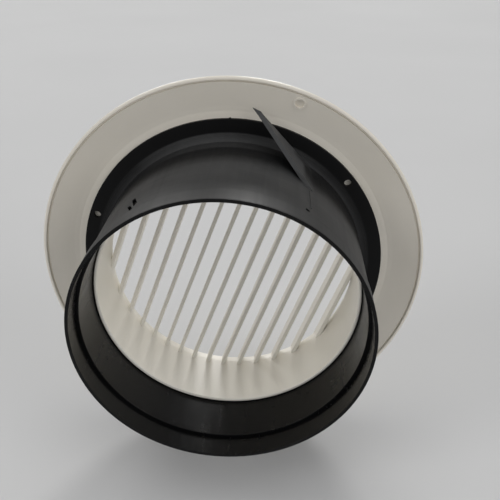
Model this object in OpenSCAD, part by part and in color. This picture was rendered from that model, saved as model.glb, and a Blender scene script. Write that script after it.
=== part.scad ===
// Round vent grille: a louvred front face whose collar plugs into a flanged duct collar.
// Frame: the duct axis is Y. The duct mouth is at -Y and the louvred front faces +Y.
// The origin is on the duct axis, in the plane of the wall side edge of the front face's lip.
// +Z is up. Lengths are in millimetres.

/* [Grille face] */
// Outside diameter of the front face
face_d = 218; // [180:1:260]
// Width of the rounded lip around the front face
lip_w = 2.2; // [1:0.1:4]
// Wall thickness of the dished face
face_t = 2.5; // [1.5:0.1:4]
// Depth of the dish, from the lip's edge to the flat seat
dish_h = 6.5; // [3:0.1:12]
// Outside diameter of the plug-in collar
plug_d = 142.6; // [130:0.1:142.8]
// Wall thickness of the plug-in collar
plug_t = 1.8; // [1:0.1:3]
// How far the collar reaches back from the lip's edge
plug_l = 34.1; // [15:0.1:50]
// How much the louvred opening widens towards the front
flare = 3.2; // [1.5:0.1:5]

/* [Louvres] */
// Number of parallel blades
blade_n = 15; // [5:2:25]
// Distance from blade to blade
blade_pitch = 9.3; // [6:0.1:15]
// Thickness of a blade
blade_t = 2.2; // [1:0.1:4]
// Lean of each blade from the duct axis, in degrees
blade_lean = 4; // [-30:0.5:30]
// Direction of the blades, in degrees clockwise from upright, seen from the duct side
slat_angle = 20.7; // [-90:0.1:90]
// Distance of the blades' back edges behind the lip's edge
blade_back = 2; // [0:0.1:10]

/* [Duct collar] */
// Outside diameter of the mouth
mouth_d = 150; // [120:1:200]
// Distance from the mouth to the lip's edge of the front face
mouth_l = 73.3; // [40:0.1:120]
// Inside diameter of the rebate in the mouth
rebate_d = 146.6; // [110:0.1:147.5]
// Depth of the rebate in the mouth
rebate_l = 12.5; // [4:0.1:25]
// Inside diameter of the tube
tube_id = 143.2; // [110:0.1:144.5]
// Outside diameter of the tube behind the mouth band
tube_od = 148.6; // [146.6:0.1:149.4]
// Outside diameter of the flange
flange_d = 171.8; // [160:0.1:190]
// Thickness of the flange
flange_t = 2.2; // [1.5:0.1:4]
// Diameter of the circle of screw holes
hole_pcd = 163.2; // [155:0.1:175]
// Diameter of a screw hole
hole_d = 4; // [3:0.1:6]
// Direction of the first screw hole, in degrees clockwise from upright
hole_a = 51.1; // [0:0.1:120]

/* [Retaining leaves] */
// Number of springy leaves on the tube
leaf_n = 3; // [1:1:3]
// Direction of the first leaf's root, in degrees clockwise from upright
leaf_a = 37.1; // [0:0.1:120]
// Length of a leaf
leaf_l = 47; // [20:0.5:55]
// Angle a leaf stands out from the tube's tangent
leaf_out = 11.2; // [5:0.1:30]
// Thickness of a leaf
leaf_t = 2.2; // [1:0.1:4]

/* [Hidden] */
$fn = 128;
// stations along the duct axis, measured from the mouth
z_lip = mouth_l;
z_seat = z_lip + dish_h;
z_front = z_seat + face_t + 0.2;
z_flange = z_seat - flange_t;
z_plug = z_lip - plug_l;
z_flare = z_lip + 1.2;
r_face = face_d / 2;
r_foot = r_face - lip_w;
r_plug = plug_d / 2;
r_open = r_plug - plug_t;
r_mouth = mouth_d / 2;
r_reb = rebate_d / 2;
r_in = tube_id / 2;
r_out = tube_od / 2;
r_flange = flange_d / 2;
r_bow = r_flange - 3;
blade_z0 = z_lip - blade_back;
blade_d = z_front - blade_z0;

// points of an arc about [cx, cy] from angle a0 to a1
function arc(cx, cy, r, a0, a1, n = 5) =
    [for (i = [0 : n]) let (a = a0 + (a1 - a0) * i / n) [cx + r * cos(a), cy + r * sin(a)]];

// turns a profile drawn as [radius, distance from the mouth] about the duct axis
module round_body(pts) { rotate_extrude($fn = 180) polygon(pts); }

// puts a part at an angle clockwise from upright, seen from the duct side
module at_angle(a) { rotate([0, 0, a - 90]) children(); }

// from the turning frame, where the duct axis is Z, to the part's frame
module to_frame() { translate([0, -mouth_l, 0]) rotate([-90, 0, 0]) children(); }

// back of the dish: u is 0 beside the seat and 1 at the foot of the lip
function dish_r(u) = r_flange + 4 + (r_foot - 0.6 - r_flange - 4) * u;
function back_z(u) = z_seat - 0.35 - (dish_h - 1.3) * pow(u, 1.15);

// half profile of the front face with its lip and plug-in collar
face_pts = concat(
    // collar, back edge rounded
    arc(r_open + 0.7, z_plug + 0.7, 0.7, 180, 270),
    arc(r_plug - 0.7, z_plug + 0.7, 0.7, 270, 360),
    // out along the collar, with a fillet into the seat
    arc(r_plug + 0.25, z_seat - 0.25, 0.25, 180, 90, 3),
    // seat and dished back
    [[r_flange + 0.6, z_seat], [r_flange + 4, back_z(0)]],
    [for (i = [1 : 6]) let (u = i / 6) [dish_r(u), back_z(u)]],
    // fine groove at the foot of the lip, then the lip
    [[r_foot - 0.35, z_lip + 1.7], [r_foot + 0.1, z_lip + 1.7], [r_foot + 0.3, z_lip + 0.6]],
    arc(r_foot + 0.8, z_lip + 0.5, 0.5, 180, 270, 4),
    arc(r_face - 0.9, z_lip + 0.9, 0.9, 270, 360, 5),
    // outer edge and front, about as thick as the dish all over
    arc(r_face - 1.8, z_lip + 1.5, 1.8, 0, 65, 5),
    [for (i = [10 : -1 : 1]) let (u = i / 10) [r_bow + (r_foot + 0.2 - r_bow) * u,
        z_front - (z_front - back_z(1) - face_t * 1.05 - 0.1) * pow(u, 1.35)]],
    // in to the opening, which widens from the blades' back edges to the front
    [[r_bow, z_front], [r_open + flare + 0.8, z_front], [r_open + flare + 0.2, z_front - 0.25],
        [r_open + flare - 0.2, z_front - 0.8], [r_open + 1, z_seat], [r_open, z_flare]]);

// cross-section of one blade, x across, y towards the front
module blade_section() {
    e = 0.55;
    h = blade_t / 2;
    polygon(concat(
        arc(-h + e, e, e, 180, 270, 4), arc(h - e, e, e, 270, 360, 4),
        arc(h - e, blade_d - e, e, 0, 90, 4), arc(-h + e, blade_d - e, e, 90, 180, 4)));
}

module blades() {
    intersection() {
        union() {
            translate([0, 0, blade_z0]) cylinder(h = blade_d, r = r_open + 0.6);
            translate([0, 0, z_seat + 0.5]) cylinder(h = z_front - z_seat - 0.5, r = r_open + flare + 1.2);
        }
        at_angle(slat_angle)
            for (i = [0 : blade_n - 1])
                translate([0, (i - (blade_n - 1) / 2) * blade_pitch, blade_z0])
                    rotate([90, 0, 90])
                        rotate([0, 0, -blade_lean])
                            translate([0, 0, -r_plug])
                                linear_extrude(2 * r_plug) blade_section();
    }
}

// places a mark on the back of the dish, square to its slope
module on_dish(r) {
    u = (r - r_flange - 4) / (r_foot - 0.6 - r_flange - 4);
    translate([r, 0, back_z(u)]) rotate([0, 18, 0]) children();
}

module grille_face() color([0.93, 0.93, 0.92]) to_frame() {
    difference() {
        union() {
            round_body(face_pts);
            blades();
            for (k = [0, 180]) at_angle(20.7 + k) on_dish(101.6)
                translate([0, 0, -0.4]) cylinder(h = 1.6, d = 6.8, $fn = 48);
        }
        // two shallow round recesses with raised rims on the back of the dish
        for (k = [0, 180]) at_angle(20.7 + k) on_dish(101.6)
            translate([0, 0, -1]) cylinder(h = 1.8, d = 5, $fn = 48);
    }
}

// half profile of the tube with its mouth rebate and flange
collar_pts = concat(
    arc(r_reb + 0.15, 0.15, 0.15, 180, 270, 3),
    arc(r_mouth - 0.2, 0.2, 0.2, 270, 360, 3),
    arc(r_mouth - 0.4, rebate_l - 0.4, 0.4, 0, 90, 4),
    [[r_out + 0.1, rebate_l + 0.05], [r_out, rebate_l + 0.2]],
    // tube, then the low root ring
    [[r_out - 0.25, z_flange - 1.9]],
    [for (i = [1 : 4]) let (b = 90 * i / 5) [r_out - 0.25 + 3.4 * (1 - cos(b)), z_flange - 1.9 + 1.6 * sin(b)]],
    [[r_out + 3.15, z_flange - 0.3], [r_out + 3.25, z_flange]],
    arc(r_flange - 0.3, z_flange + 0.3, 0.3, 270, 360, 3),
    arc(r_flange - 0.3, z_seat - 0.3, 0.3, 0, 90, 3),
    arc(r_in + 0.4, z_seat - 0.4, 0.4, 90, 180, 3),
    // inner step
    arc(r_in + 0.3, rebate_l + 0.3, 0.3, 180, 270, 4),
    [[r_reb, rebate_l]]);

// outline of a leaf: along the leaf, and distance from the mouth
module leaf_outline() {
    polygon([[2, 42.9], [leaf_l - 4.6, 73], [leaf_l, 75], [leaf_l - 0.3, 75.5],
        [leaf_l - 5.5, 73.5], [0, 73], [0, 60]]);
}

// a leaf blends into the tube at its root, and its end is cut on a slant
module leaf() {
    translate([r_out - 0.05, 0, 0]) rotate([0, 0, leaf_out - 90])
        intersection() {
            rotate([90, 0, 0]) linear_extrude(leaf_t + 1) leaf_outline();
            linear_extrude(100) polygon([[0, -0.5], [2, -0.5], [5, 0], [leaf_l - 4, 0],
                [leaf_l, -leaf_t], [10, -leaf_t], [0, -1.6]]);
        }
}

// small moulding marks on the tube, beside the mouth
module tube_marks() {
    // two shallow slanted pockets, side by side
    at_angle(-34.1) translate([r_out - 1.3, 0, 0]) rotate([90, 0, 90]) linear_extrude(4) {
        polygon([[-2.2, 29.5], [-0.4, 30], [3.4, 20], [1.6, 18]]);
        polygon([[-3.3, 22.5], [-1.6, 22.5], [1.6, 16], [0.4, 14.3]]);
    }
    // one small round pocket
    at_angle(32.3) translate([r_out - 1, 0, 17]) rotate([0, 90, 0]) cylinder(h = 4, d = 2.4, $fn = 24);
}

module duct_collar() color([0.10, 0.10, 0.11]) to_frame() {
    difference() {
        union() {
            round_body(collar_pts);
            for (k = [0 : leaf_n - 1]) at_angle(leaf_a + 120 * k)
                difference() {
                    leaf();
                    rotate([0, 0, 90 - leaf_a - 120 * k]) cylinder(h = 100, r = r_in + 0.8);
                }
            // fine seam from the small pocket up to the first leaf
            at_angle(leaf_a - 3.2) translate([r_out - 0.1, 0, 21]) cylinder(h = 24, r = 0.35, $fn = 16);
            // moulding nub on the flange's edge
            at_angle(0) translate([r_flange - 0.4, 0, z_flange + 0.3]) cylinder(h = 1.4, d = 1.6, $fn = 24);
        }
        for (k = [0 : 2]) at_angle(hole_a + 120 * k)
            translate([hole_pcd / 2, 0, z_flange - 2]) cylinder(h = flange_t + 4, d = hole_d, $fn = 48);
        tube_marks();
    }
}

grille_face();
duct_collar();
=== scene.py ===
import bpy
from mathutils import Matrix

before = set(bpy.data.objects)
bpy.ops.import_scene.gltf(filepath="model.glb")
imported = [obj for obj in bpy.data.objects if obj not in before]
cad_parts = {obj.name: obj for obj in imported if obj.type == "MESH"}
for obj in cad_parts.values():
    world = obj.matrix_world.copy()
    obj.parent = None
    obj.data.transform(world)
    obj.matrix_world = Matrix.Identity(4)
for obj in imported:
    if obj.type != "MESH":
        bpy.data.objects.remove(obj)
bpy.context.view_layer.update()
import math

import bpy
from mathutils import Vector

# ---------------------------------------------------------------- node helpers


class Mat:
    """A Principled material with small helpers for procedural detail in object space."""

    def __init__(self, name):
        self.m = bpy.data.materials.new(name)
        self.m.use_nodes = True
        self.t = self.m.node_tree
        self.t.nodes.clear()
        self.out = self.t.nodes.new("ShaderNodeOutputMaterial")
        self.b = self.t.nodes.new("ShaderNodeBsdfPrincipled")
        self.t.links.new(self.b.outputs[0], self.out.inputs[0])
        self.co = self.t.nodes.new("ShaderNodeTexCoord").outputs["Object"]

    def link(self, a, b):
        self.t.links.new(a, b)

    def set(self, name, v):
        self.b.inputs[name].default_value = v

    def map(self, scale=(1, 1, 1), rot=(0, 0, 0)):
        n = self.t.nodes.new("ShaderNodeMapping")
        n.inputs["Scale"].default_value = scale
        n.inputs["Rotation"].default_value = rot
        self.link(self.co, n.inputs["Vector"])
        return n.outputs[0]

    def noise(self, scale, detail=3.0, rough=0.5, vec=None, distort=0.0):
        n = self.t.nodes.new("ShaderNodeTexNoise")
        n.inputs["Scale"].default_value = scale
        n.inputs["Detail"].default_value = detail
        n.inputs["Roughness"].default_value = rough
        n.inputs["Distortion"].default_value = distort
        self.link(vec if vec is not None else self.co, n.inputs["Vector"])
        return n.outputs["Fac"]

    def voronoi(self, scale, feature="F1", vec=None):
        n = self.t.nodes.new("ShaderNodeTexVoronoi")
        n.feature = feature
        n.inputs["Scale"].default_value = scale
        self.link(vec if vec is not None else self.co, n.inputs["Vector"])
        return n.outputs["Distance"]

    def math(self, op, a, b=None, clamp=False):
        n = self.t.nodes.new("ShaderNodeMath")
        n.operation = op
        n.use_clamp = clamp
        for i, v in enumerate((a, b)):
            if v is None:
                continue
            if isinstance(v, (int, float)):
                n.inputs[i].default_value = v
            else:
                self.link(v, n.inputs[i])
        return n.outputs[0]

    def span(self, v, a, b, lo=0.0, hi=1.0, smooth=False):
        n = self.t.nodes.new("ShaderNodeMapRange")
        n.clamp = True
        if smooth:
            n.interpolation_type = "SMOOTHSTEP"
        self.link(v, n.inputs["Value"])
        for k, x in (("From Min", a), ("From Max", b), ("To Min", lo), ("To Max", hi)):
            n.inputs[k].default_value = x
        return n.outputs[0]

    def ramp(self, v, stops):
        n = self.t.nodes.new("ShaderNodeValToRGB")
        e = n.color_ramp.elements
        while len(e) > 1:
            e.remove(e[-1])
        e[0].position, e[0].color = stops[0][0], (*stops[0][1], 1)
        for p, c in stops[1:]:
            k = e.new(p)
            k.color = (*c, 1)
        self.link(v, n.inputs[0])
        return n.outputs[0]

    def mix(self, f, a, b, mode="MIX"):
        n = self.t.nodes.new("ShaderNodeMix")
        n.data_type = "RGBA"
        n.blend_type = mode
        if isinstance(f, (int, float)):
            n.inputs["Factor"].default_value = f
        else:
            self.link(f, n.inputs["Factor"])
        for k, v in (("A", a), ("B", b)):
            s = [i for i in n.inputs if i.name == k and i.type == "RGBA"][0]
            if isinstance(v, tuple):
                s.default_value = (*v, 1)
            else:
                self.link(v, s)
        return [o for o in n.outputs if o.type == "RGBA"][0]

    def xyz(self, vec=None):
        n = self.t.nodes.new("ShaderNodeSeparateXYZ")
        self.link(vec if vec is not None else self.co, n.inputs[0])
        return n.outputs

    def bump(self, height, strength, distance, normal=None):
        n = self.t.nodes.new("ShaderNodeBump")
        n.inputs["Strength"].default_value = strength
        n.inputs["Distance"].default_value = distance
        self.link(height, n.inputs["Height"])
        if normal is not None:
            self.link(normal, n.inputs["Normal"])
        return n.outputs[0]

    def edge(self):
        """Pointiness: above 0.5 on outward edges."""
        n = self.t.nodes.new("ShaderNodeNewGeometry")
        return n.outputs["Pointiness"]


def white_plastic():
    m = Mat("white_plastic")
    m.set("IOR", 1.5)
    tone = m.noise(9.0, 3.0, 0.55)
    grime = m.noise(38.0, 5.0, 0.6, distort=0.6)
    # painted light: the inner tone on the walls and blades is painted lighter. The outer dish's tone
    # has a creamier yellowed tint and is painted darker as painted shade.
    inner_painted_light = m.ramp(tone, [(0.3, (0.86, 0.825, 0.745)), (0.7, (0.885, 0.855, 0.785))])
    dish_painted_shade_and_yellowing = m.ramp(tone, [(0.3, (0.80, 0.75, 0.655)), (0.7, (0.83, 0.785, 0.70))])
    p = m.xyz()
    rad = m.math("SQRT", m.math("ADD", m.math("MULTIPLY", p[0], p[0]), m.math("MULTIPLY", p[2], p[2])))
    c = m.mix(m.span(rad, 0.070, 0.088), inner_painted_light, dish_painted_shade_and_yellowing)
    c = m.mix(m.span(grime, 0.56, 0.8, 0.0, 0.10), c, (0.55, 0.53, 0.48))
    m.link(c, m.b.inputs["Base Color"])
    fine = m.noise(900.0, 2.0, 0.5)
    rough = m.math("ADD", m.span(grime, 0.3, 0.8, 0.30, 0.42), m.span(fine, 0.3, 0.7, -0.02, 0.02))
    m.link(rough, m.b.inputs["Roughness"])
    n1 = m.bump(m.noise(55.0, 2.0, 0.5), 0.10, 0.0006)
    n2 = m.bump(fine, 0.10, 0.00006, n1)
    m.link(n2, m.b.inputs["Normal"])
    m.set("Subsurface Weight", 0.05)
    m.set("Subsurface Radius", (0.004, 0.004, 0.0035))
    return m.m


def black_plastic():
    m = Mat("black_plastic")
    m.set("IOR", 1.5)
    m.set("Specular IOR Level", 0.16)
    tone = m.noise(7.0, 3.0, 0.55)
    dust = m.noise(60.0, 6.0, 0.65, distort=0.8)
    c = m.ramp(tone, [(0.3, (0.0025, 0.0025, 0.0028)), (0.7, (0.0045, 0.0045, 0.0048))])
    c = m.mix(m.span(dust, 0.60, 0.85, 0.0, 0.08), c, (0.02, 0.0195, 0.019))
    # the tube's outside gets a paler haze, the flange less so; below, painted shade and a painted
    # highlight are worked into this haze
    p = m.xyz()
    rad = m.math("SQRT", m.math("ADD", m.math("MULTIPLY", p[0], p[0]), m.math("MULTIPLY", p[2], p[2])))
    outside = m.span(rad, 0.0736, 0.0742)
    behind = m.span(p[1], 0.0015, 0.0042, 1.0, 0.0)
    near = m.span(rad, 0.0782, 0.0790, 1.0, 0.0)
    haze_and_painted_light = m.math("MULTIPLY", outside, m.math("MAXIMUM", behind, near))
    haze_and_painted_light = m.math("MULTIPLY", haze_and_painted_light, m.span(dust, 0.35, 0.75, 0.75, 1.0))
    # painted shade: the haze thins towards the mouth, so the tube is painted darker there
    haze_and_painted_light = m.math("MULTIPLY", haze_and_painted_light, m.span(p[1], -0.068, -0.035, 0.55, 1.0))
    # painted shade: the haze is taken off the mouth's last millimetre, where the rim's edge is in
    # shade, and faded out close to the flange, where shade falls; painted highlight: on the root ring
    # only the top, which catches the light, is hazed
    root = m.span(p[1], -0.0070, -0.0045)
    top = m.math("MULTIPLY", root, m.span(p[2], 0.050, 0.074, 0.05, 0.75))
    flange_shade_ring_highlight = m.math("MAXIMUM", m.span(p[1], -0.028, -0.016, 1.0, 0.2), top)
    haze_and_painted_light = m.math("MULTIPLY", haze_and_painted_light, m.math("MULTIPLY", flange_shade_ring_highlight, m.span(p[1], -0.0727, -0.0718)))
    c = m.mix(haze_and_painted_light, c, (0.074, 0.0743, 0.0748))
    # painted light: the thin leaves are painted paler still, a painted sheen for the light they catch
    leaf_painted_sheen = m.math("MULTIPLY", m.span(rad, 0.0760, 0.0768), behind)
    leaf_painted_sheen = m.math("MULTIPLY", leaf_painted_sheen, m.math("MAXIMUM", m.span(rad, 0.0785, 0.0795), m.span(p[1], -0.0070, -0.0045, 1.0, 0.0)))
    c = m.mix(m.math("MULTIPLY", leaf_painted_sheen, 0.9), c, (0.070, 0.0705, 0.072))
    # painted shade: a thin dark line in the step behind the mouth band, where shade falls behind the
    # step's edge
    painted_step_shade = m.math("MULTIPLY", m.span(p[1], -0.0614, -0.0612), m.span(p[1], -0.0604, -0.0601, 1.0, 0.0))
    c = m.mix(m.math("MULTIPLY", m.math("MULTIPLY", painted_step_shade, outside), 0.85), c, (0.002, 0.002, 0.002))
    m.link(c, m.b.inputs["Base Color"])
    # long fine scuffs along the duct and round it
    s1 = m.noise(1.0, 3.0, 0.6, vec=m.map((260, 9, 260)))
    s2 = m.noise(1.0, 3.0, 0.6, vec=m.map((14, 420, 14)))
    fine = m.noise(1100.0, 2.0, 0.5)
    rough = m.math("ADD", m.span(dust, 0.3, 0.8, 0.20, 0.25), m.span(s1, 0.45, 0.75, 0.0, 0.07))
    rough = m.math("ADD", rough, m.span(s2, 0.5, 0.75, 0.0, 0.05))
    # the outside is duller than the inside
    rough = m.math("ADD", rough, m.math("MULTIPLY", outside, 0.26))
    m.link(rough, m.b.inputs["Roughness"])
    n1 = m.bump(m.noise(22.0, 2.0, 0.5), 0.12, 0.0010)
    n2 = m.bump(s2, 0.08, 0.00012, n1)
    n3 = m.bump(fine, 0.08, 0.00005, n2)
    m.link(n3, m.b.inputs["Normal"])
    return m.m


LOOK = {"grille_face": white_plastic(), "duct_collar": black_plastic()}
for name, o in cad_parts.items():
    o.data.materials.clear()
    o.data.materials.append(LOOK[name])

# ---------------------------------------------------------------- floor, light, camera

floor_z = -0.1095


def floor_material():
    m = Mat("studio_floor")
    n = m.noise(3.0, 3.0, 0.5)
    m.link(m.ramp(n, [(0.3, (0.63, 0.63, 0.63)), (0.7, (0.65, 0.65, 0.65))]), m.b.inputs["Base Color"])
    m.link(m.span(m.noise(300.0, 2.0, 0.5), 0.3, 0.7, 0.75, 0.85), m.b.inputs["Roughness"])
    m.set("Specular IOR Level", 0.1)
    return m.m


def sweep():
    """A pale floor that runs far out in all directions."""
    import bmesh

    bm = bmesh.new()
    s = 12.0
    vs = [bm.verts.new((x, y, floor_z)) for x, y in ((-s, -s), (s, -s), (s, s), (-s, s))]
    bm.faces.new(vs)
    me = bpy.data.meshes.new("studio_floor")
    bm.to_mesh(me)
    bm.free()
    o = bpy.data.objects.new("studio_floor", me)
    bpy.context.scene.collection.objects.link(o)
    me.materials.append(floor_material())
    return o


sweep()

world = bpy.data.worlds.new("studio")
bpy.context.scene.world = world
world.use_nodes = True
wt = world.node_tree
bg = wt.nodes["Background"]
# a soft studio: pale walls round the horizon, dimmer overhead
wc = wt.nodes.new("ShaderNodeTexCoord")
wd = wt.nodes.new("ShaderNodeVectorMath")
wd.operation = "DOT_PRODUCT"
wd.inputs[1].default_value = (0.0, 0.15, 1.0)
wt.links.new(wc.outputs["Generated"], wd.inputs[0])
wr = wt.nodes.new("ShaderNodeMapRange")
wr.interpolation_type = "SMOOTHSTEP"
wt.links.new(wd.outputs["Value"], wr.inputs["Value"])
for k, x in (("From Min", 0.25), ("From Max", 0.9), ("To Min", 0.46), ("To Max", 0.26)):
    wr.inputs[k].default_value = x
wt.links.new(wr.outputs[0], bg.inputs["Strength"])
bg.inputs["Color"].default_value = (0.985, 0.99, 1.0, 1)


def sun(name, frm, strength, spread, tint=(1, 1, 1)):
    d = bpy.data.lights.new(name, "SUN")
    d.energy = strength
    d.angle = math.radians(spread)
    d.color = tint
    o = bpy.data.objects.new(name, d)
    o.rotation_mode = "QUATERNION"
    o.rotation_quaternion = Vector(frm).to_track_quat("Z", "Y")
    bpy.context.scene.collection.objects.link(o)
    return o


sun("top", (0.0, -0.12, 1.0), 0.52, 60)
sun("back", (0.14, 1.0, 0.52), 0.92, 14, (1.0, 0.995, 0.98))
sun("back_left", (-0.42, 1.0, 0.36), 0.62, 25, (1.0, 0.995, 0.98))
sun("right_front", (0.74, -0.50, 0.40), 0.66, 35)


sun("left_front", (-0.73, -0.47, 0.49), 0.52, 22)

cam = bpy.data.cameras.new("camera")
cam.sensor_width = 36.0
cam.lens = 46.66
cam_o = bpy.data.objects.new("camera", cam)
cam_o.location = (0.0266, -0.3237, 0.1865)
cam_o.rotation_euler = (math.radians(61.57), 0.0, math.radians(2.81))
bpy.context.scene.collection.objects.link(cam_o)
bpy.context.scene.camera = cam_o
bpy.context.scene.view_settings.view_transform = "Standard"
cam.clip_start = 0.01
cam.clip_end = 50.0
